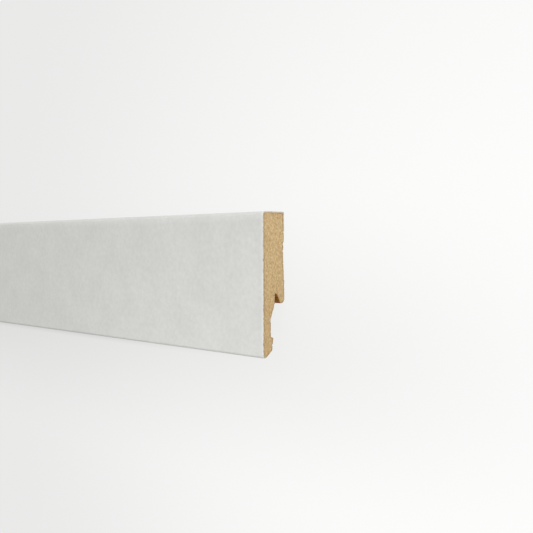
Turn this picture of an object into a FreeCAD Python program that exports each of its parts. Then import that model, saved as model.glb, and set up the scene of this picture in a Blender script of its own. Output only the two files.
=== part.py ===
import FreeCAD
import Part
import math
import os

# A length of foil-wrapped skirting board, lying on its back with the decorative face up.
# Two pieces: a moulded core of medium-density fibreboard, and the thin decor foil glued round it.
# The section is drawn as it stands on a wall: "depth" runs from the visible face back to the wall,
# and "height" runs up from the floor. Laid on its back, depth becomes -Z and height becomes +Y.
# The origin is under the middle of the length and of the height, in the plane that meets the wall.
# All sizes are in millimetres.

# Overall size of the length as it is sold
board_length = 2400.0
board_height = 58.0
board_depth = 12.0

# Decor foil: over the face, the top and the bottom edge, lapped on to the back
foil_thickness = 0.2
back_lap = 7.9
top_front_radius = 1.5
top_back_radius = 0.5
bottom_front_radius = 0.5

# Foot at the bottom of the web: a narrow flat on the floor, and a back chamfered up from it
bottom_flat = 1.5
chamfer_height = 2.8
foot_height = 7.8
foot_ledge = 1.4
foot_ledge_drop = 0.4
foot_back_taper = 0.7
foot_corner_radius = 0.3

# Thin web in front of the clips, and the recess behind it, which the taper widens into the body
web_thickness = 4.3
web_taper_height = 5.7
web_taper_radius = 1.5
clip_recess_height = 13.5

# Undercut groove that hooks over the clips, and the hanging lip between it and the wall
groove_mouth = 3.2
groove_depth = 3.9
groove_roof = 1.1
groove_roof_radius = 0.45
lip_flat = 0.4
lip_radius = 1.8

# Shallow relief milled in the back, so that the board bears on a land above it and one below it
upper_land = 11.2
relief_depth = 0.6
relief_upper_ramp = 4.4
relief_floor = 2.9
relief_lower_ramp = 8.6
relief_step = 0.2
relief_radius = 3.0


def section_point(depth, height):
    """A point of the section, at the end where the sweep starts."""
    return FreeCAD.Vector(-board_length / 2, height - board_height / 2, board_depth - depth)


def rounded_outline(corners):
    """A closed outline of straight runs joined by tangent arcs. A corner is (depth, height, radius)."""
    points = [section_point(depth, height) for depth, height, radius in corners]
    entries, middles, exits = [], [], []
    for index, corner in enumerate(points):
        radius = corners[index][2]
        to_previous = (points[index - 1] - corner).normalize()
        to_next = (points[(index + 1) % len(points)] - corner).normalize()
        half_angle = to_previous.getAngle(to_next) / 2
        inward = (to_previous + to_next).normalize()
        reach = radius / math.tan(half_angle)
        entries.append(corner + to_previous * reach)
        exits.append(corner + to_next * reach)
        middles.append(corner + inward * (radius / math.sin(half_angle) - radius))
    edges = []
    for index, (depth, height, radius) in enumerate(corners):
        if radius > 0:
            edges.append(Part.Arc(entries[index], middles[index], exits[index]).toShape())
        next_entry = entries[(index + 1) % len(corners)]
        edges.append(Part.LineSegment(exits[index], next_entry).toShape())
    return Part.Wire(edges)


def run_along_length(corners):
    """The section with these corners, swept from one sawn end to the other."""
    section = Part.Face(rounded_outline(corners))
    return section.extrude(FreeCAD.Vector(board_length, 0, 0))


def foot_back(height):
    """Depth of the bottom chamfer's plane at a height above the floor."""
    chamfer_top = web_thickness + foot_ledge - foot_back_taper
    return bottom_flat + (chamfer_top - bottom_flat) * height / chamfer_height


def make_decor_foil():
    """The foil's outer line from the back lap to the bottom chamfer, and its inner line back again."""
    lap_end = board_height - back_lap
    outer = [
        (board_depth, lap_end, 0),
        (board_depth, board_height, top_back_radius),
        (0, board_height, top_front_radius),
        (0, 0, bottom_front_radius),
        (bottom_flat, 0, 0),
    ]

    t = foil_thickness
    inner = [
        (foot_back(t), t, 0),
        (t, t, bottom_front_radius - t),
        (t, board_height - t, top_front_radius - t),
        (board_depth - t, board_height - t, top_back_radius - t),
        (board_depth - t, lap_end, 0),
    ]
    return run_along_length(outer + inner)


def make_fibreboard_core():
    """Up the face inside the foil, over the top, down the moulded back and round the foot."""
    t = foil_thickness
    face_and_top = [
        (t, t, bottom_front_radius - t),
        (t, board_height - t, top_front_radius - t),
        (board_depth - t, board_height - t, top_back_radius - t),
    ]

    relief_top = board_height - upper_land
    relief_floor_top = relief_top - relief_upper_ramp
    relief_floor_bottom = relief_floor_top - relief_floor
    relief_bottom = relief_floor_bottom - relief_lower_ramp
    relief = [
        (board_depth - t, relief_top, 0),
        (board_depth - relief_depth, relief_floor_top, relief_radius),
        (board_depth - relief_depth, relief_floor_bottom, relief_radius),
        (board_depth - relief_step, relief_bottom, 0),
        (board_depth, relief_bottom - relief_step, 0),
    ]

    lip_underside = foot_height + clip_recess_height
    groove_top = lip_underside + groove_depth
    groove_outer = board_depth - lip_radius - lip_flat
    groove_inner = groove_outer - groove_mouth
    lip_and_groove = [
        (board_depth, lip_underside, lip_radius),
        (groove_outer, lip_underside, 0),
        (groove_inner + groove_roof, groove_top, groove_roof_radius),
        (groove_inner, groove_top, groove_roof_radius),
        (groove_inner, lip_underside, 0),
    ]

    foot_thickness = web_thickness + foot_ledge
    web_and_foot = [
        (web_thickness, lip_underside - web_taper_height, web_taper_radius),
        (web_thickness, foot_height + foot_ledge_drop, foot_corner_radius),
        (foot_thickness, foot_height, foot_corner_radius),
        (foot_back(chamfer_height), chamfer_height, 0),
        (foot_back(t), t, 0),
    ]
    return run_along_length(face_and_top + relief + lip_and_groove + web_and_foot)


pieces = {
    "fibreboard_core": make_fibreboard_core(),
    "decor_foil": make_decor_foil(),
}

os.makedirs("parts", exist_ok=True)
for name, shape in pieces.items():
    shape.exportStep(os.path.join("parts", name + ".step"))
    print(name, "volume", round(shape.Volume, 1), "mm3, valid", shape.isValid(), "closed", shape.isClosed())

overlap = pieces["fibreboard_core"].common(pieces["decor_foil"]).Volume
print("overlap of core and foil", round(overlap, 4), "mm3")
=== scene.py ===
# %% [markdown]
# A length of wrapped skirting board
#
# The real thing is one strip of medium-density fibreboard with a moulded back, and one sheet of
# pale decor foil glued round its face, top and bottom edge. It lies on its back with the face up.
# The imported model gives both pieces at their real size. This file gives them their finish: the foil's
# emboss, the fibreboard's fibres, and two sawn ends with their worn edges and lifted fibres.

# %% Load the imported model
import math
import bpy
import bmesh
import numpy as np
from mathutils import Matrix, Vector
from mathutils.geometry import delaunay_2d_cdt


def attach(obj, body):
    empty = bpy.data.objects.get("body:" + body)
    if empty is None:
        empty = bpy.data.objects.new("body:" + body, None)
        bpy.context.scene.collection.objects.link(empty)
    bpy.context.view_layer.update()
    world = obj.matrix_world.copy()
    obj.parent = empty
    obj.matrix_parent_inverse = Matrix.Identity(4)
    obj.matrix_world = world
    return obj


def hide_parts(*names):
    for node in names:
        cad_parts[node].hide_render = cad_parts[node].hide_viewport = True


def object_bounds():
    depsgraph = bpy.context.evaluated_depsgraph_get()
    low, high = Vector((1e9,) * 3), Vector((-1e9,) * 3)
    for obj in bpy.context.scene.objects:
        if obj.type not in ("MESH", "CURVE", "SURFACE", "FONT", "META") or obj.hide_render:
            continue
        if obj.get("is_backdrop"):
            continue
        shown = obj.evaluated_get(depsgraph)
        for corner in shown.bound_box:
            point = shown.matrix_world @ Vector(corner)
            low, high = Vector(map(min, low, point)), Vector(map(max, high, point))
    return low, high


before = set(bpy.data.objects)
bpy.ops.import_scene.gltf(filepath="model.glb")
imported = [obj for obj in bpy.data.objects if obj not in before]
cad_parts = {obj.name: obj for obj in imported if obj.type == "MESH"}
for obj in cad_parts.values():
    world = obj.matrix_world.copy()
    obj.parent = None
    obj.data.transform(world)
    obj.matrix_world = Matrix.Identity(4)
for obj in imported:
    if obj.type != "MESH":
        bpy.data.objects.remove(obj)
cad_low, cad_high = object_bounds()
print("pieces:", sorted(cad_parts), "size in metres:", [round(s, 4) for s in cad_high - cad_low])

# %% [markdown]
# Sizes that everything shares
#
# Blender works in metres, but a joiner thinks in millimetres, so mm turns one into the other.
# The board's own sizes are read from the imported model, and never typed in again.

# %% Shared sizes
mm = 0.001
board_length = cad_high.x - cad_low.x
half_length = board_length / 2
print("length", round(board_length / mm), "mm, height", round((cad_high.y - cad_low.y) / mm, 1), "mm")

# %% [markdown]
# Node trees as plain expressions
#
# Materials and Geometry Nodes are both trees of nodes, and adding each node by hand hides the idea
# behind the wiring. A Value wraps one socket, so sums on it add Math nodes. A Tree has one method,
# node, which adds any other node: its type, its settings, and then its sockets' values or links.

# %% A value in a node tree
class Value:
    """One output of a node. Arithmetic on it adds Math nodes to its tree."""

    def __init__(self, tree, node, output):
        self.tree = tree
        self.node = node
        self.output = output

    def of(self, output):
        """Another output of the same node."""
        return Value(self.tree, self.node, output)

    def math(self, operation, *terms):
        """A Math node on these terms. Its sockets are numbered, as they all have the same name."""
        return self.tree.node("ShaderNodeMath", {"operation": operation}, dict(enumerate(terms)))

    def __add__(self, other):
        return self.math("ADD", self, other)

    def __sub__(self, other):
        return self.math("SUBTRACT", self, other)

    def __rsub__(self, other):
        return self.math("SUBTRACT", other, self)

    def __mul__(self, other):
        return self.math("MULTIPLY", self, other)

    def __truediv__(self, other):
        return self.math("DIVIDE", self, other)

    def __lt__(self, other):
        return self.math("LESS_THAN", self, other)

    def __gt__(self, other):
        return self.math("GREATER_THAN", self, other)

    def __abs__(self):
        return self.math("ABSOLUTE", self)

    __radd__ = __add__
    __rmul__ = __mul__


# %% A node tree
class Tree:
    """A node tree, with one way to add a node to it."""

    def __init__(self, tree):
        self.tree = tree

    def node(self, kind, settings=None, inputs=None, output=0):
        """Adds a node, makes its settings, fills its sockets with values or links, and gives one output."""
        node = self.tree.nodes.new(kind)
        for name, setting in (settings or {}).items():
            setattr(node, name, setting)
        for name, value in (inputs or {}).items():
            for source in value if isinstance(value, list) else [value]:
                if isinstance(source, Value):
                    self.tree.links.new(source.node.outputs[source.output], node.inputs[name])
                else:
                    node.inputs[name].default_value = source
        return Value(self, node, output)

    def mix_colour(self, share, first, second):
        """first where share is 0, second where it is 1. Sockets 6 and 7 are a Mix node's two colours."""
        return self.node("ShaderNodeMix", {"data_type": "RGBA"}, {0: share, 6: first, 7: second}, 2)

    def smooth_step(self, value, start, end):
        """0 at start, 1 at end, and a smooth change between them."""
        return self.node("ShaderNodeMapRange", {"interpolation_type": "SMOOTHSTEP"},
                         {"Value": value, "From Min": start, "From Max": end})

    def fade(self, value, start, end):
        """1 at start, 0 at end, and a smooth change between them."""
        return 1 - self.smooth_step(value, start, end)

    def noise(self, place, size, detail=2.0):
        """Noise from 0 to 1 whose blots are about size metres across."""
        return self.node("ShaderNodeTexNoise", None, {"Vector": place, "Scale": 1 / size, "Detail": detail})

    def vector(self, x=0.0, y=0.0, z=0.0):
        """A vector from three values."""
        return self.node("ShaderNodeCombineXYZ", None, {"X": x, "Y": y, "Z": z})

    def split(self, vector):
        """The three parts of a vector, as values."""
        x = self.node("ShaderNodeSeparateXYZ", None, {0: vector})
        return x, x.of(1), x.of(2)


# %% [markdown]
# The section of a sawn end
#
# Both pieces are a section that runs the whole length, so their shape is already in the outline of
# one end. It could be drawn again from numbers, but then a change to the construction would leave
# it behind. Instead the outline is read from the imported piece: at its flat end, the edges that have
# only one flat neighbour are the rim, and walking along them gives the outline in order.

# %% Read the outline of an end
def signed_area(outline):
    """Positive where the outline runs anticlockwise."""
    ahead = np.roll(outline, -1, axis=0)
    return (outline[:, 0] * ahead[:, 1] - ahead[:, 0] * outline[:, 1]).sum() / 2


def end_outline(node_name):
    """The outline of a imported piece's end, anticlockwise, as rows of (y, z) in metres."""
    shape = bmesh.new()
    shape.from_mesh(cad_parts[node_name].data)
    same_place, end_depth = 0.001 * mm, 0.01 * mm
    bmesh.ops.remove_doubles(shape, verts=shape.verts, dist=same_place)
    flat = {f for f in shape.faces if all(v.co.x > half_length - end_depth for v in f.verts)}
    rim = {e for e in shape.edges if sum(f in flat for f in e.link_faces) == 1}
    edge = min(rim, key=lambda e: e.index)
    first = vertex = edge.verts[0]
    outline = []
    while not outline or vertex is not first:
        outline.append((vertex.co.y, vertex.co.z))
        vertex = edge.other_vert(vertex)
        edge = next(e for e in vertex.link_edges if e in rim and e is not edge)
    shape.free()
    outline = np.array(outline)
    return outline if signed_area(outline) > 0 else outline[::-1]


core_outline = end_outline("fibreboard_core")
foil_outline = end_outline("decor_foil")
print("corners of an end: core", len(core_outline), "foil", len(foil_outline))

# %% [markdown]
# A fine mesh across the section
#
# A sawn end is rough to the touch, and worn along its edges. That needs many small faces, so the
# outline is divided into short steps, and points are laid inside it like cells of a honeycomb.
# A constrained Delaunay triangulation later joins them without crossing the outline.

# %% Distances to an outline, and short steps along it
def nearest_on_outline(points, outline):
    """For each point, the nearest place on a closed outline."""
    side = np.roll(outline, -1, axis=0) - outline
    share = ((points[:, None] - outline) * side).sum(2) / (side ** 2).sum(1)
    places = outline + np.clip(share, 0, 1)[:, :, None] * side
    closest = np.linalg.norm(points[:, None] - places, axis=2).argmin(1)
    return places[np.arange(len(points)), closest]


def distance_to_outline(points, outline):
    """For each point, how far it is from a closed outline."""
    return np.linalg.norm(points - nearest_on_outline(points, outline), axis=1)


def in_short_steps(outline, step):
    """The same outline, with points on its long sides so that no side is longer than step."""
    points = []
    for start, end in zip(outline, np.roll(outline, -1, axis=0)):
        count = math.ceil(np.linalg.norm(end - start) / step)
        points += [start + (end - start) * i / count for i in range(count)]
    return np.array(points)


print("core's outline in steps of 1 mm:", len(in_short_steps(core_outline, 1 * mm)), "points")

# %% A honeycomb of points inside an outline
def is_inside(points, outline):
    """True for a point from which a straight line crosses the outline an odd number of times."""
    start, end = outline, np.roll(outline, -1, axis=0)
    y, z = points[:, 0, None], points[:, 1, None]
    spans = (start[:, 1] > z) != (end[:, 1] > z)
    rise = np.where(start[:, 1] == end[:, 1], 1, end[:, 1] - start[:, 1])
    crossing = start[:, 0] + (z - start[:, 1]) * (end[:, 0] - start[:, 0]) / rise
    return (spans & (y < crossing)).sum(1) % 2 == 1


def honeycomb(outline, step):
    """Points a step apart inside the outline, every other row shifted by half a step."""
    low, high = outline.min(0), outline.max(0)
    rows = np.arange(low[1], high[1], step * math.sqrt(3) / 2)
    columns = np.arange(low[0], high[0], step)
    points = np.array([(y + step / 2 * (i % 2), z) for i, z in enumerate(rows) for y in columns])
    points = points[is_inside(points, outline)]
    return points[distance_to_outline(points, outline) > step / 2]


print("points 1 mm apart inside the core:", len(honeycomb(core_outline, 1 * mm)))

# %% [markdown]
# What each point of the section knows
#
# The later steps need to know more than where a point is. How far is it from the edge, and which way
# is inwards? The saw crumbles a bare edge, and hardly touches one that foil holds. How sheltered is
# a point of the rim? Little light reaches deep into the narrow groove, and that shade is painted there
# as a dark brown. These are worked out once here, kept as attributes of the mesh, and travel along
# the sweep.

# %% Directions and places on a rim
def unit(vectors):
    """The same directions, each 1 long."""
    return vectors / np.linalg.norm(vectors, axis=1)[:, None]


def inwards_from_rim(rim):
    """Which way is inwards at each point of an anticlockwise rim."""
    along = np.roll(rim, -1, axis=0) - np.roll(rim, 1, axis=0)
    return unit(np.stack([-along[:, 1], along[:, 0]], 1))


def place_along(rim):
    """How far along the rim each point is."""
    steps = np.linalg.norm(np.roll(rim, -1, axis=0) - rim, axis=1)
    return np.concatenate([[0], np.cumsum(steps)[:-1]])


print("the core's last corner is", round(place_along(core_outline)[-1] / mm, 1), "mm along its outline")

# %% How sheltered a point of the rim is
def cross(a, b):
    """The cross product of vectors in a plane, which is 0 where they are parallel."""
    return a[..., 0] * b[..., 1] - a[..., 1] * b[..., 0]


def shelter(rim, inward, outline, reach):
    """The share of each rim point's view, out to reach, that the section itself blocks."""
    angles = np.radians(np.arange(-85, 86, 5))[:, None]
    sideways = np.stack([-inward[:, 1], inward[:, 0]], 1)
    rays = -inward[:, None] * np.cos(angles) + sideways[:, None] * np.sin(angles)
    side = np.roll(outline, -1, axis=0) - outline
    to_side = outline - rim[:, None]
    slope = cross(rays[:, :, None], side)
    parallel, own_side = 1e-12, 0.01 * mm
    slope = np.where(abs(slope) < parallel, parallel, slope)
    distance = cross(to_side, side)[:, None] / slope
    share = cross(to_side[:, None], rays[:, :, None]) / slope
    met = (distance > own_side) & (distance < reach) & (share >= 0) & (share <= 1)
    weight = np.cos(angles[:, 0])
    return met.any(2) @ weight / weight.sum()


groove_reach = 8 * mm
core_shelter = shelter(core_outline, inwards_from_rim(core_outline), core_outline, groove_reach)
print("most sheltered corner of the core: blocked for", round(core_shelter.max(), 2), "of its view")

# %% The section as a mesh
def remember(mesh, name, values):
    """Keeps one number, or one direction across the section, for each point of a mesh."""
    if values.ndim == 1:
        mesh.attributes.new(name, "FLOAT", "POINT").data.foreach_set("value", values)
    else:
        across = np.column_stack([np.zeros(len(values)), values])
        mesh.attributes.new(name, "FLOAT_VECTOR", "POINT").data.foreach_set("vector", across.ravel())


def section_mesh(name, outline, step):
    """A section as a flat mesh: its X is the board's Y, and its Y is the board's Z."""
    rim, cells = in_short_steps(outline, step), honeycomb(outline, step)
    points = np.concatenate([rim, cells])
    sides = [(i, (i + 1) % len(rim)) for i in range(len(rim))]
    inside_only, same_point = 1, 1e-6
    made = delaunay_2d_cdt([Vector(p / mm) for p in points], sides, [], inside_only, same_point)
    # Item 2 is the triangles, and item 3 says which of the given points each of their corners is.
    triangles = [[made[3][corner][0] for corner in triangle] for triangle in made[2]]
    mesh = bpy.data.meshes.new(name)
    mesh.from_pydata([(y, z, 0) for y, z in points], [], triangles)

    edge_distance = distance_to_outline(points, outline)
    rim_inward = inwards_from_rim(rim)
    cell_inward = unit(cells - nearest_on_outline(cells, outline))
    no_rim = np.zeros(len(cells))
    contact = 0.02 * mm
    wrapped = distance_to_outline(points, foil_outline) < edge_distance + contact
    remember(mesh, "edge_distance", edge_distance)
    remember(mesh, "inward", np.concatenate([rim_inward, cell_inward]))
    remember(mesh, "wrapped", 1.0 * wrapped)
    remember(mesh, "sheltered", np.concatenate([shelter(rim, rim_inward, outline, groove_reach), no_rim]))
    remember(mesh, "rim_place", np.concatenate([place_along(rim), no_rim]))
    print(name, len(rim), "rim points,", len(cells), "inside,", len(mesh.polygons), "triangles")
    return mesh


grain_step = 0.32 * mm
core_section = section_mesh("core_section", core_outline, grain_step)
foil_section = section_mesh("foil_section", foil_outline, grain_step)

# %% [markdown]
# From section to board
#
# A board is its section carried along a straight line, and Geometry Nodes say exactly that: the
# section's rim becomes a profile, Curve to Mesh sweeps it, and the section itself closes both ends.
# The sweep needs short steps only near the saw cuts, so its stations crowd together there: a station
# at share t of the half length, from -1 to 1, moves to t * (2 - |t|).
# The tree has named inputs for its sizes, so the same tree makes the core and the foil.

# %% A Geometry Nodes tree with named inputs
def geometry_tree(name, sizes):
    """A tree that takes a mesh, these named sizes and a finish, and gives a mesh."""
    group = bpy.data.node_groups.new(name, "GeometryNodeTree")
    group.interface.new_socket("Mesh", in_out="INPUT", socket_type="NodeSocketGeometry")
    for size in sizes:
        group.interface.new_socket(size, in_out="INPUT", socket_type="NodeSocketFloat")
    group.interface.new_socket("Finish", in_out="INPUT", socket_type="NodeSocketMaterial")
    group.interface.new_socket("Mesh", in_out="OUTPUT", socket_type="NodeSocketGeometry")
    tree = Tree(group)
    return tree, tree.node("NodeGroupInput")


def end_tree(tree, given, geometry):
    """Ends a tree: its instances are made real, and the finish is put on."""
    real = tree.node("GeometryNodeRealizeInstances", None, {"Geometry": geometry})
    painted = tree.node("GeometryNodeSetMaterial", None, {"Geometry": real, "Material": given.of("Finish")})
    tree.node("NodeGroupOutput", None, {0: painted})


def named(tree, name, kind="FLOAT"):
    """Reads an attribute."""
    return tree.node("GeometryNodeInputNamedAttribute", {"data_type": kind}, {"Name": name})


def store(tree, geometry, name, value, domain="POINT"):
    """Writes an attribute that is one number for each point or face."""
    return tree.node("GeometryNodeStoreNamedAttribute", {"data_type": "FLOAT", "domain": domain},
                     {"Geometry": geometry, "Name": name, "Value": value})


# %% Sweep the section, and close its ends
def swept_section(tree, section, length, stations):
    """The rim of a flat section carried along X, as an open tube with its stations close at both ends."""
    # An edge that has only one face beside it is on the rim.
    neighbours = tree.node("GeometryNodeInputMeshEdgeNeighbors")
    rim = tree.node("GeometryNodeMeshToCurve", None, {"Mesh": section, "Selection": neighbours < 1.5})
    half = length / 2
    line = tree.node("GeometryNodeCurvePrimitiveLine", None,
                     {"Start": tree.vector(x=half * -1), "End": tree.vector(x=half)})
    path = tree.node("GeometryNodeResampleCurve", None, {"Curve": line, "Count": stations})
    share = tree.split(tree.node("GeometryNodeInputPosition"))[0] / half
    crowded = tree.vector(x=share * (2 - abs(share)) * half)
    path = tree.node("GeometryNodeSetPosition", None, {"Geometry": path, "Position": crowded})
    # Without this half turn, the section would lie upside down on its path.
    path = tree.node("GeometryNodeSetCurveTilt", None, {"Curve": path, "Tilt": math.pi})
    return tree.node("GeometryNodeCurveToMesh", None, {"Curve": path, "Profile Curve": rim})


def end_caps(tree, section, length):
    """The flat section stood up across both ends of the length."""
    upright = (math.pi / 2, 0, math.pi / 2)
    places = [tree.vector(x=length * side) for side in (-0.5, 0.5)]
    return [tree.node("GeometryNodeTransform", None,
                      {"Geometry": section, "Translation": place, "Rotation": upright})
            for place in places]


# %% [markdown]
# What the saw does to an end
#
# A saw blade leaves fibreboard slightly hollow and uneven, rounds its bare edges, and knocks small
# chips out of them. Where its teeth leave through the foil, the foil breaks out a little.
# Displacing along normals would need perfect normals, so each point moves by two named directions
# instead: back from the cut along X, and inwards across the section.
# Every move goes into the board and none goes out of it, so the board keeps its size.

# %% The moves that roughen an end
def sawn_offset(tree, given, to_cut, to_corner):
    """How far each point moves, from its distance to the saw cut and to the corner of cut and side."""
    x, y, z = tree.split(tree.node("GeometryNodeInputPosition"))
    end = x.math("SIGN", x)
    on_cut = tree.vector(end, y, z)

    hollow = (0.5 + 0.5 * tree.noise(on_cut, 1.1 * mm, 3.0)) * given.of("Saw relief")
    hollow = hollow * tree.fade(to_cut, 0, 3 * mm)
    rounding = tree.noise(on_cut, 1.5 * mm, 3.0) * given.of("Edge wear")
    rounding = rounding * tree.fade(to_corner, 0, 0.4 * mm)
    chips = tree.smooth_step(tree.noise(on_cut, 1.9 * mm), 0.58, 0.7) * given.of("Chip depth")
    chips = chips * tree.fade(to_corner, 0, 0.9 * mm)
    breakout = tree.smooth_step(tree.noise(on_cut, 1.2 * mm), 0.45, 0.7) * given.of("Breakout")
    breakout = breakout * tree.fade(to_cut, 0, 1 * mm)

    # Foil over an edge keeps most of the wear and the chips off it.
    held_by_foil = 0.7 * named(tree, "wrapped")
    worn = (rounding + chips) * (1 - held_by_foil)
    back = tree.vector(x=(hollow + worn + breakout) * end * -1)
    inwards = tree.node("ShaderNodeVectorMath", {"operation": "SCALE"},
                        {0: named(tree, "inward", "FLOAT_VECTOR"), "Scale": worn})
    return tree.node("ShaderNodeVectorMath", {"operation": "ADD"}, {0: back, 1: inwards})


# %% The whole tree of a sawn length
def sawn_length_tree():
    sizes = ["Length", "Stations", "Saw relief", "Edge wear", "Chip depth", "Breakout"]
    tree, given = geometry_tree("sawn length", sizes)
    section, length = given.of("Mesh"), given.of("Length")
    tube = swept_section(tree, section, length, given.of("Stations"))
    # The most sheltered faces of the rim carry the mask for the groove's painted shade.
    tube = store(tree, tube, "burnished", named(tree, "sheltered"), "FACE")
    caps = [store(tree, cap, "sawn", 1.0, "FACE") for cap in end_caps(tree, section, length)]
    whole = tree.node("GeometryNodeJoinGeometry", None, {"Geometry": [tube, *caps]})
    whole = tree.node("GeometryNodeMergeByDistance", None, {"Geometry": whole, "Distance": 0.005 * mm})

    to_cut = length / 2 - abs(tree.split(tree.node("GeometryNodeInputPosition"))[0])
    to_corner = to_cut + named(tree, "edge_distance")
    whole = store(tree, whole, "to_corner", to_corner)
    offset = sawn_offset(tree, given, to_cut, named(tree, "to_corner"))
    whole = tree.node("GeometryNodeSetPosition", None, {"Geometry": whole, "Offset": offset})
    end_tree(tree, given, whole)
    return tree


sawn_length = sawn_length_tree()
print("sawn length:", len(sawn_length.tree.nodes), "nodes")

# %% [markdown]
# Fibres that the saw lifts
#
# A sawn end of fibreboard is never clean: the blade pulls short wood fibres out of the surface and
# lays them down across it. Painting them would leave the mesh bare, and they are many and alike, so
# Geometry Nodes scatter points over the two ends and lay one small bent fibre on each. The press
# lays fibres in the plane of the board, so here most of them run along the board's height.

# %% The tree that scatters fibres
fibre_sides = 3
fibre_steps = 3


def one_fibre(tree, length, thickness):
    """A thin bent fibre in the YZ plane, with few sides and closed ends."""
    line = tree.node("GeometryNodeCurveQuadraticBezier", None,
                     {"Resolution": fibre_steps, "Start": tree.vector(y=length * -0.5),
                      "Middle": tree.vector(z=length * 0.25), "End": tree.vector(y=length * 0.5)})
    ring = tree.node("GeometryNodeCurvePrimitiveCircle", None,
                     {"Resolution": fibre_sides, "Radius": thickness / 2})
    return tree.node("GeometryNodeCurveToMesh", None,
                     {"Curve": line, "Profile Curve": ring, "Fill Caps": True})


def random(tree, low, high, seed):
    """A number for each point. Sockets 2 and 3 are the limits, and 8 is the seed."""
    return tree.node("FunctionNodeRandomValue", None, {2: low, 3: high, 8: seed}, 1)


def lifted_fibres_tree():
    tree, given = geometry_tree("lifted fibres", ["Fibre length", "Fibre thickness", "Density", "Turn"])
    length = given.of("Fibre length")
    points = tree.node("GeometryNodeDistributePointsOnFaces", None,
                       {"Mesh": given.of("Mesh"), "Selection": named(tree, "sawn"),
                        "Density": given.of("Density"), "Seed": 7})
    points = store(tree, points, "tint", random(tree, 0.0, 1.0, seed=1))
    # Near a corner, a fibre shrinks to the room it has. Below a quarter of its length, it is left out.
    room, shortest = named(tree, "to_corner") / (length / 2), 0.25
    scale = room.math("MINIMUM", room, random(tree, 0.4, 1.0, seed=2))
    turn = given.of("Turn") * (random(tree, -1.0, 1.0, seed=3) + random(tree, -1.0, 1.0, seed=4))
    flip = math.pi * (random(tree, 0.0, 1.0, seed=5) > 0.5)
    fibres = tree.node("GeometryNodeInstanceOnPoints", None,
                       {"Points": points, "Selection": scale > shortest,
                        "Instance": one_fibre(tree, length, given.of("Fibre thickness")),
                        "Rotation": tree.vector(x=turn + flip), "Scale": tree.vector(scale, scale, scale)})
    end_tree(tree, given, fibres)
    return tree


lifted_fibres = lifted_fibres_tree()
print("lifted fibres:", len(lifted_fibres.tree.nodes), "nodes")

# %% [markdown]
# How a finish is put together
#
# Every finish here has the same skeleton: a colour, a roughness and a height that vary over the
# surface, on one Principled shader. Object coordinates give each point its place in metres, so all
# patterns have real sizes, and they run through the board as its fibres do.

# %% The skeleton of a finish
def new_finish(name):
    """An empty material: itself, its tree, and the place of each point in metres."""
    material = bpy.data.materials.new(name)
    material.use_nodes = True
    material.node_tree.nodes.clear()
    tree = Tree(material.node_tree)
    return material, tree, tree.node("ShaderNodeTexCoord", output="Object")


def attribute(tree, name):
    return tree.node("ShaderNodeAttribute", {"attribute_name": name}, output="Fac")


def surface(tree, colour, roughness, height, depth, **constants):
    """One Principled shader, with a height from 0 to 1 that stands for depth in metres."""
    bump = tree.node("ShaderNodeBump", None, {"Height": height, "Distance": depth})
    shader = tree.node("ShaderNodeBsdfPrincipled", None,
                       {"Base Color": colour, "Roughness": roughness, "Normal": bump, **constants})
    tree.node("ShaderNodeOutputMaterial", None, {"Surface": shader})


# %% [markdown]
# The decor foil
#
# The foil is printed paper under a thin satin lacquer. It is one pale grey-white, but not a flat
# one: the paper shows through as faint mottling a few millimetres across, and the lacquer has a
# fine even emboss. A painted shade makes it greyer along the small radius of the bottom edge, and
# a painted highlight makes it a little paler just below the top edge.
# A saw whitens the lacquer for about a millimetre from the cut, and the cut itself shows the paper
# and the brown glue under it as a thin darker line.

# %% The finish of the decor foil
def decor_foil_finish():
    material, tree, place = new_finish("decor foil")
    darker_grey, paler_grey = (0.495, 0.499, 0.473, 1), (0.627, 0.631, 0.602, 1)
    pale_lacquer_and_highlight, bottom_shade_grey = (0.69, 0.70, 0.68, 1), (0.28, 0.28, 0.27, 1)
    bare_paper = (0.56, 0.53, 0.45, 1)
    mottling = tree.noise(place, 1.8 * mm, 3.0)
    clouds = tree.noise(place, 15 * mm)
    tone = 0.5 + 0.9 * (mottling - 0.5) + 0.5 * (clouds - 0.5)
    colour = tree.mix_colour(tone, darker_grey, paler_grey)
    whitened = 0.6 * tree.fade(attribute(tree, "to_corner"), 0, 1.2 * mm)
    colour = tree.mix_colour(whitened, colour, pale_lacquer_and_highlight)
    y = tree.split(place)[1]
    # Painted shade: the foil is greyer along the small rounding of the bottom edge.
    painted_bottom_shade = 0.58 * tree.fade(y, cad_low.y, cad_low.y + 1.2 * mm)
    colour = tree.mix_colour(painted_bottom_shade, colour, bottom_shade_grey)
    # Painted highlight: the foil is a little paler in a band just below the top edge.
    painted_top_highlight = tree.smooth_step(y, cad_high.y - 4 * mm, cad_high.y - 2 * mm)
    painted_top_highlight = 0.24 * painted_top_highlight * tree.fade(y, cad_high.y - 1.5 * mm, cad_high.y)
    colour = tree.mix_colour(painted_top_highlight, colour, pale_lacquer_and_highlight)
    colour = tree.mix_colour(attribute(tree, "sawn"), colour, bare_paper)

    emboss = tree.noise(place, 0.45 * mm, 2.0)
    roughness = 0.36 + 0.12 * mottling + 0.3 * attribute(tree, "sawn")
    surface(tree, colour, roughness, emboss, 0.012 * mm)
    return material


decor_foil = decor_foil_finish()
print("decor foil:", len(decor_foil.node_tree.nodes), "nodes")
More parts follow.
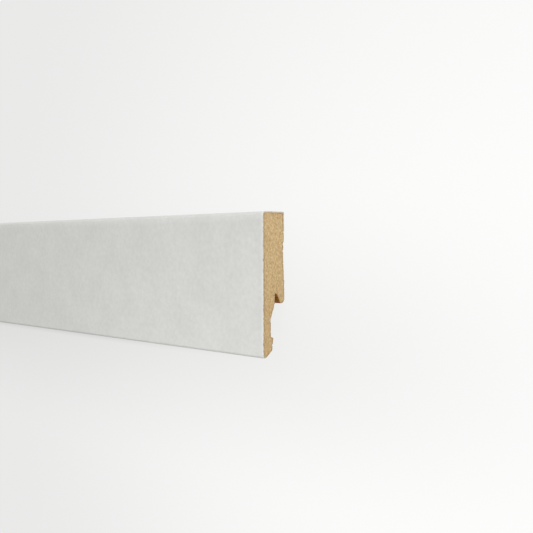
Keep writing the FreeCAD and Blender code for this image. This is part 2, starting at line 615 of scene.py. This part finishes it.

# %% [markdown]
# The bare fibreboard
#
# Fibreboard is wood fibre and glue, pressed flat: fibres lie in the plane of the board, so a cut
# through its thickness shows blots that are longer than they are thick. Stretching the noise does
# that: one step through the thickness counts as two along it. On top lie darker bits of bark,
# paler bundles of fibre, faint arcs that the saw teeth leave on the ends, and the even ripple of
# the moulder's knives on the milled back. Where the groove is most sheltered, its shade is painted
# in as a deep brown with lighter streaks, and the same mask makes it a little smoother. A painted
# shade darkens the section a little towards its web and foot. The saw crushes the rim of the cut
# to a darker line, and leaves torn paper of the foil along it.

# %% The pattern of the fibres
def fibre_pattern(tree, place):
    """The tone of pressed fibre from 0 to 1, and where the bark and the pale bundles are."""
    flattened = tree.node("ShaderNodeMapping", None, {"Vector": place, "Scale": (1, 1, 1.9)})
    blots = tree.noise(flattened, 1.3 * mm, 3.0)
    grain = tree.noise(flattened, 0.35 * mm, 2.0)
    tone = 0.5 + 2.2 * (blots - 0.5) + 1.7 * (grain - 0.5)
    bark = tree.smooth_step(tree.noise(flattened, 1.0 * mm, 2.0), 0.68, 0.75)
    bundles = tree.smooth_step(tree.noise(flattened, 1.7 * mm, 2.0), 0.6, 0.72)
    return tone, bark, bundles


def saw_arcs(tree, place):
    """Waves round the axle of a saw blade, which stood in front of the face."""
    blade_centre, tooth_step = (0.0, 0.03, 0.14), 1.4 * mm
    out = tree.node("ShaderNodeVectorMath", {"operation": "MULTIPLY_ADD"},
                    {0: place, 1: (0, 1, 1), 2: tuple(-c for c in blade_centre)})
    radius = tree.node("ShaderNodeVectorMath", {"operation": "LENGTH"}, {0: out}, "Value")
    waver = tree.noise(place, 6 * mm) * 1.5
    return 0.5 + 0.5 * radius.math("SINE", radius * (2 * math.pi / tooth_step) + waver)


# %% The finish of the fibreboard
def fibreboard_finish():
    material, tree, place = new_finish("fibreboard")
    sawn, burnished = attribute(tree, "sawn"), attribute(tree, "burnished")
    tone, bark, bundles = fibre_pattern(tree, place)
    dark_fibre, pale_fibre = (0.355, 0.246, 0.114, 1), (0.665, 0.50, 0.275, 1)
    pale_bundle, dark_bark = (0.68, 0.53, 0.32, 1), (0.27, 0.145, 0.055, 1)
    colour = tree.mix_colour(tone, dark_fibre, pale_fibre)
    colour = tree.mix_colour(0.35 * bundles, colour, pale_bundle)
    colour = tree.mix_colour(0.6 * bark, colour, dark_bark)
    x, y, z = tree.split(place)
    # Painted shade: the section darkens a little towards the bottom, where the web and foot are.
    painted_low_shade, low_shade_brown = 0.1 * tree.fade(y, -10 * mm, 6 * mm), (0.35, 0.15, 0.04, 1)
    colour = tree.mix_colour(painted_low_shade, colour, low_shade_brown)

    to_corner, wrapped = attribute(tree, "to_corner"), attribute(tree, "wrapped")
    crushed_brown, paper = (0.30, 0.20, 0.10, 1), (0.60, 0.56, 0.47, 1)
    crushed = 0.55 + 0.4 * tree.smooth_step(tree.noise(place, 1.5 * mm), 0.45, 0.65)
    crushed = crushed * tree.fade(to_corner - 0.25 * mm * wrapped, 0.1 * mm, 0.9 * mm)
    colour = tree.mix_colour(crushed, colour, crushed_brown)
    torn_paper = 0.6 * wrapped * sawn * tree.fade(to_corner, 0.1 * mm, 0.45 * mm)
    colour = tree.mix_colour(torn_paper, colour, paper)

    # Painted shade deep in the groove: lengthwise streaks between a deep brown and a lighter, bounce-lit
    # brown.
    drawn_out = tree.node("ShaderNodeMapping", None, {"Vector": place, "Scale": (0.04, 1, 1)})
    streaks = tree.smooth_step(tree.noise(drawn_out, 0.8 * mm), 0.35, 0.65)
    deep_groove_shade, bounce_lit_brown = (0.20, 0.075, 0.016, 1), (0.54, 0.265, 0.073, 1)
    painted_groove_shade = tree.mix_colour(streaks, deep_groove_shade, bounce_lit_brown)
    colour = tree.mix_colour(tree.smooth_step(burnished, 0.2, 0.55), colour, painted_groove_shade)

    knife_step = 1.25 * mm
    ripple = 0.5 + 0.5 * x.math("SINE", x * (2 * math.pi / knife_step))
    marks = ripple * (1 - sawn) + saw_arcs(tree, place) * sawn
    fuzz = tree.noise(place, 0.18 * mm, 3.0)
    height = 0.25 * marks + 0.75 * fuzz + tone * 0.8
    # The same mask also makes the groove a little smoother.
    roughness = 0.95 - 0.25 * burnished
    surface(tree, colour, roughness, height, 0.06 * mm, **{"Specular IOR Level": 0.05})
    return material


fibreboard = fibreboard_finish()
print("fibreboard:", len(fibreboard.node_tree.nodes), "nodes")

# %% [markdown]
# The lifted fibres
#
# From close by, each fibre that stands up has a brown of its own, from bark to straw. A material for
# each would be thousands of them, and noise in space would colour neighbours alike. So each fibre
# carries a random number, its tint, and one material turns that into a colour.

# %% The finish of the lifted fibres
def fibre_finish():
    material, tree, place = new_finish("lifted fibre")
    bark_brown, straw = (0.42, 0.27, 0.125, 1), (0.75, 0.58, 0.36, 1)
    colour = tree.mix_colour(attribute(tree, "tint"), bark_brown, straw)
    streaks = tree.noise(place, 0.15 * mm)
    surface(tree, colour, 0.8 + 0.15 * streaks, streaks, 0.01 * mm)
    return material


lifted_fibre = fibre_finish()
print("lifted fibre:", len(lifted_fibre.node_tree.nodes), "nodes")

# %% [markdown]
# Run the trees
#
# A modifier runs a tree on a mesh, with the sizes that its named inputs are given. The result is
# turned into a plain mesh and the modifier goes, so what is kept is what is seen. Normals are then
# turned outwards, smooth shading is put on, and edges sharper than an angle stay sharp.

# %% From a tree to a plain mesh
def run_tree(name, tree, mesh, sizes, finish):
    """Runs a tree on a mesh and gives the result as a plain object at the origin."""
    piece = bpy.data.objects.new(name, mesh)
    bpy.context.scene.collection.objects.link(piece)
    modifier = piece.modifiers.new(name, "NODES")
    modifier.node_group = tree.tree
    inputs = {s.name: s.identifier for s in tree.tree.interface.items_tree if s.in_out == "INPUT"}
    for label, value in {**sizes, "Finish": finish}.items():
        modifier[inputs[label]] = value
    view = bpy.context.evaluated_depsgraph_get()
    result = bpy.data.meshes.new_from_object(piece.evaluated_get(view), depsgraph=view)
    piece.modifiers.clear()
    piece.data = result
    return piece


def tidy_surface(piece, sharp_degrees):
    """Turns faces outwards, shades them smoothly between sharp edges, and reports open edges."""
    shape = bmesh.new()
    shape.from_mesh(piece.data)
    bmesh.ops.recalc_face_normals(shape, faces=shape.faces)
    open_edges = sum(not e.is_manifold for e in shape.edges)
    volume = shape.calc_volume() / mm ** 3
    triangles = sum(len(f.verts) - 2 for f in shape.faces)
    shape.to_mesh(piece.data)
    shape.free()
    piece.data.shade_smooth()
    piece.data.set_sharp_from_angle(angle=math.radians(sharp_degrees))
    print(piece.name, triangles, "triangles,", open_edges, "open edges,", round(volume), "mm3")


# %% Make the board and its foil
stations = 120.0
board = run_tree("moulded_fibreboard", sawn_length, core_section,
                 {"Length": board_length, "Stations": stations, "Saw relief": 0.1 * mm,
                  "Edge wear": 0.04 * mm, "Chip depth": 0.2 * mm, "Breakout": 0.0}, fibreboard)
wrap = run_tree("foil_wrap", sawn_length, foil_section,
                {"Length": board_length, "Stations": stations, "Saw relief": 0.06 * mm,
                 "Edge wear": 0.0, "Chip depth": 0.0, "Breakout": 0.25 * mm}, decor_foil)
tidy_surface(board, sharp_degrees=40)
tidy_surface(wrap, sharp_degrees=40)

# %% Lay the fibres on the sawn ends
fibres = run_tree("lifted_fibres", lifted_fibres, board.data.copy(),
                  {"Fibre length": 1.3 * mm, "Fibre thickness": 0.09 * mm,
                   "Density": 5.0 / mm ** 2, "Turn": math.radians(35)}, lifted_fibre)
tidy_surface(fibres, sharp_degrees=80)

# %% [markdown]
# A flat plan of each piece
#
# To bake a finish into a picture, each piece needs a flat plan of its surface: its UV map. A ready-made
# unwrap gives every face the same scale, and in a square that must hold 2.4 m of board, a sawn end is
# then a few dozen pixels long. So the plan is drawn here: the long sides are cut into four lengths
# that lie above each other, and both ends lie over them, about five times as large.
# A fibre would be lost in such a plan, so each one has a cell of a grid to itself.

# %% Reading a mesh, and keeping a plan
def numbers(items, name, width=1):
    """One property of many items as an array."""
    values = np.empty(len(items) * width)
    items.foreach_get(name, values)
    return values.reshape(-1, width) if width > 1 else values


def per_corner(mesh):
    """Each corner's point, how many corners its face has, and where each face's corners begin."""
    point = numbers(mesh.loops, "vertex_index").astype(int)
    count = numbers(mesh.polygons, "loop_total").astype(int)
    return point, count, np.cumsum(count) - count


def past_seam(around, once_round, count, begin):
    """Places round a ring, in faces that cross its seam lengthened by once round."""
    furthest = np.repeat(np.maximum.reduceat(around, begin), count)
    return around + once_round * (furthest - around > once_round / 2)


def keep_plan(piece, u, v):
    """Keeps a plan as the UV map named OFBake."""
    plan = piece.data.uv_layers.new(name="OFBake")
    plan.data.foreach_set("uv", np.stack([u, v], 1).ravel())
    print(piece.name, "plan from", round(min(u.min(), v.min()), 3), "to", round(max(u.max(), v.max()), 3))


# %% The plan of a sawn length
def plan_of_length(piece, outline):
    """Four lengths above each other in the lower part of the square, and the two ends over them."""
    mesh, lengths, row_height = piece.data, 4, 0.22
    row_margin, row_used = 0.03, 0.93
    end_left, end_foot, end_width = 0.01, 0.89, 0.48
    point, count, begin = per_corner(mesh)
    x, y, z = numbers(mesh.vertices, "co", 3)[point].T
    middle = np.repeat(np.add.reduceat(x, begin) / count, count)
    row_length = board_length / lengths
    row = np.floor((middle + half_length) / row_length)
    # A face goes with the length that holds its middle, so half of the longest face may hang over.
    overhang = board_length / (stations - 1)
    u = (x + half_length - row * row_length + overhang) / (row_length + 2 * overhang)

    once_round = np.linalg.norm(np.roll(outline, -1, axis=0) - outline, axis=1).sum()
    around = numbers(mesh.attributes["rim_place"].data, "value")[point]
    around = past_seam(around, once_round, count, begin)
    v = (row + row_margin + row_used * around / once_round) * row_height

    sawn = np.repeat(numbers(mesh.attributes["sawn"].data, "value"), count) > 0.5
    scale = end_width / (cad_high.y - cad_low.y)
    u = np.where(sawn, end_left + 0.5 * (x > 0) + (y - cad_low.y) * scale, u)
    v = np.where(sawn, end_foot + z * scale, v)
    keep_plan(piece, u, v)


# %% The plan of the fibres
def plan_of_fibres(piece):
    """A grid with one fibre in each cell: its sides on the left, and its two ends on the right."""
    point, count, begin = per_corner(piece.data)
    fibre, corner = np.divmod(point, fibre_sides * (fibre_steps + 1))
    along, side = np.divmod(corner, fibre_sides)
    around = past_seam(side, fibre_sides, count, begin)
    closed_end = np.repeat(count, count) == fibre_sides
    margin, sides_width, sides_height = 0.04, 0.74, 0.92
    end_left, end_foot, end_width, end_height, next_end = 0.84, 0.06, 0.12, 0.35, 0.5
    end_u = end_left + end_width * (side == 1)
    end_v = end_foot + end_height * (side == 2) + next_end * (along > 0)
    u = np.where(closed_end, end_u, margin + sides_width * along / fibre_steps)
    v = np.where(closed_end, end_v, margin + sides_height * around / fibre_sides)
    cells = math.ceil(math.sqrt(fibre.max() + 1))
    keep_plan(piece, (fibre % cells + u) / cells, (fibre // cells + v) / cells)


plan_of_length(board, core_outline)
plan_of_length(wrap, foil_outline)
plan_of_fibres(fibres)

# %% [markdown]
# Forget what only the steps above needed
#
# The trees and the plans read many attributes, and the finishes read few of them. A real object
# doesn't carry the maker's pencil marks either, so what no finish reads is rubbed out.

# %% Rub out the spent attributes
spent = {"edge_distance", "inward", "sheltered", "rim_place", "id"}
unread = {board: set(), wrap: {"wrapped", "burnished"},
          fibres: {"wrapped", "burnished", "sawn", "to_corner"}}
for piece, names in unread.items():
    attributes = piece.data.attributes
    for name in (spent | names) & set(attributes.keys()):
        attributes.remove(attributes[name])
    print(piece.name, "keeps", sorted(name for name in attributes.keys() if not name.startswith(".")))

# %% [markdown]
# A pale floor that glows a little
#
# The board lies on a plain pale floor under soft studio light. A white table that is lit from below
# keeps shadows faint and shows the moulded back against a clean ground, so the floor gives off most
# of its brightness itself, and takes only the rest from the lamps. A wide pool past the sawn end is
# brightest, the rest is even, the light dips a little close beside the board, and a narrow shadow
# follows the bottom edge, where the board touches the floor.

# %% The floor
def floor_finish():
    material, tree, place = new_finish("glowing floor")
    x, y, z = tree.split(place)
    pool_centre, pool_radius = (half_length + 0.136, -0.034, 0.0), 0.381
    away = tree.node("ShaderNodeVectorMath", {"operation": "DISTANCE"}, {0: place, 1: pool_centre}, "Value")
    outside_pool = tree.smooth_step(away, 0, pool_radius)
    bright_pool, even_glow = (0.945, 0.945, 0.938, 1), (0.783, 0.783, 0.777, 1)
    glow = tree.mix_colour(outside_pool, bright_pool, even_glow)

    from_edge, no_glow = y - cad_low.y, (0, 0, 0, 1)
    beside_board = tree.fade(abs(from_edge - 3 * mm), 0, 68 * mm)
    beside_end = tree.fade(abs(x), half_length, half_length + 200 * mm)
    dip = 0.09 * beside_board * beside_end
    glow = tree.mix_colour(dip, glow, no_glow)
    touching = tree.fade(abs(from_edge + 2 * mm), 0, 3 * mm)
    under_edge = tree.fade(abs(x), half_length - 150 * mm, half_length)
    shadow = 0.12 * touching * under_edge
    glow = tree.mix_colour(shadow, glow, no_glow)

    dark_grey = (0.04, 0.04, 0.04, 1)
    shader = tree.node("ShaderNodeBsdfPrincipled", None,
                       {"Base Color": dark_grey, "Roughness": 0.9, "Specular IOR Level": 0.0,
                        "Emission Color": glow, "Emission Strength": 1.0})
    tree.node("ShaderNodeOutputMaterial", None, {"Surface": shader})
    return material


floor_size = 40
floor_mesh = bpy.data.meshes.new("floor")
corners = [(x * floor_size / 2, y * floor_size / 2, 0) for x, y in ((-1, -1), (1, -1), (1, 1), (-1, 1))]
floor_mesh.from_pydata(corners, [], [(0, 1, 2, 3)])
floor = bpy.data.objects.new("floor", floor_mesh)
floor.data.materials.append(floor_finish())
bpy.context.scene.collection.objects.link(floor)
floor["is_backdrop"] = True
print("floor:", floor_size, "m wide,", len(floor.active_material.node_tree.nodes), "nodes in its finish")

# %% [markdown]
# Soft studio light
#
# The room is pale grey all round, and brighter on the side of the board's top edge. One large soft
# lamp stands on that side. Two small ones stand near the sawn end: one past it lights the cut, and
# one on the side of the bottom edge makes the face fade along its length.

# %% The light
sawn_end = Vector((half_length, 0, cad_high.z / 2))


def soft_lamp(name, offset, size, watts):
    """A square lamp this far from the sawn end and aimed at it."""
    light = bpy.data.lights.new(name, "AREA")
    light.size = size
    light.energy = watts
    lamp = bpy.data.objects.new(name, light)
    lamp.visible_camera = False
    place = sawn_end + Vector(offset)
    aim = (sawn_end - place).to_track_quat("-Z", "Y")
    lamp.matrix_world = Matrix.Translation(place) @ aim.to_matrix().to_4x4()
    bpy.context.scene.collection.objects.link(lamp)
    print(name, "of", watts, "W at", [round(c, 3) for c in place])


def room_light(bottom_side, top_side):
    """Light from all round, brighter from the side of the board's top edge."""
    world = bpy.data.worlds.new("studio")
    world.use_nodes = True
    world.node_tree.nodes.clear()
    tree = Tree(world.node_tree)
    y = tree.split(tree.node("ShaderNodeTexCoord", output="Generated"))[1]
    dim, bright = (bottom_side,) * 3 + (1,), (top_side,) * 3 + (1,)
    light = tree.mix_colour(tree.smooth_step(y, -1, 1), dim, bright)
    background = tree.node("ShaderNodeBackground", None, {"Color": light})
    tree.node("ShaderNodeOutputWorld", None, {"Surface": background})
    bpy.context.scene.world = world
    print("room light from", bottom_side, "to", top_side)


room_light(bottom_side=0.435, top_side=1.185)
soft_lamp("large lamp", (0, 1.0, 1.2), size=1.2, watts=2.6)
soft_lamp("end lamp", (0.309, 0.186, 0.134), size=0.1, watts=0.46)
soft_lamp("face lamp", (0, -0.167, 0.134), size=0.1, watts=0.15)
bpy.context.scene.view_settings.view_transform = "Standard"

# %% [markdown]
# The camera
#
# The camera keeps the place that it has towards the board in the photograph: past the sawn end,
# in front of the face and a little below the top edge. The board lies on its back here, so the
# camera looks down on the face, and the board's top edge points up in the picture.

# %% The camera
def photo_camera():
    """The camera, from its distances to the board in millimetres and its three turns in degrees."""
    past_end, above_bottom_edge, before_face = 226.8, 45.1, 222.7
    yaw, pitch, roll = (math.radians(a) for a in (45.28, 1.59, -0.234))
    # The picture's width and the focal length are both in the photograph's pixels.
    picture_width, focal_length = 533, 811.3
    eye = Vector((cad_high.x, cad_low.y, cad_high.z))
    eye += Vector((past_end, above_bottom_edge, before_face)) * mm

    look = Vector((-math.sin(yaw) * math.cos(pitch), -math.sin(pitch), -math.cos(yaw) * math.cos(pitch)))
    level = Vector((math.cos(yaw), 0, -math.sin(yaw)))
    upright = level.cross(look)
    right = math.cos(roll) * level + math.sin(roll) * upright
    up = math.cos(roll) * upright - math.sin(roll) * level
    lens = bpy.data.cameras.new("camera")
    lens.lens = lens.sensor_width * focal_length / picture_width
    lens.clip_start = 10 * mm
    camera = bpy.data.objects.new("camera", lens)
    camera.matrix_world = Matrix.Translation(eye) @ Matrix((right, up, -look)).transposed().to_4x4()
    bpy.context.scene.collection.objects.link(camera)
    bpy.context.scene.camera = camera
    print("camera at", [round(c, 4) for c in eye])


photo_camera()

# %% [markdown]
# Put the pieces on their body
#
# Each piece rides on the board's one body, and the imported solids that the pieces were made from are
# hidden. The last lines print how far the visual model reaches past the imported box.

# %% Bodies and sizes
for piece in (board, wrap, fibres):
    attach(piece, "root")
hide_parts("fibreboard_core")
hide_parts("decor_foil")

low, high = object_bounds()
outside = max(*(cad_low - low), *(high - cad_high))
print("visual model reaches past the packed box by", round(outside / mm, 4), "mm")
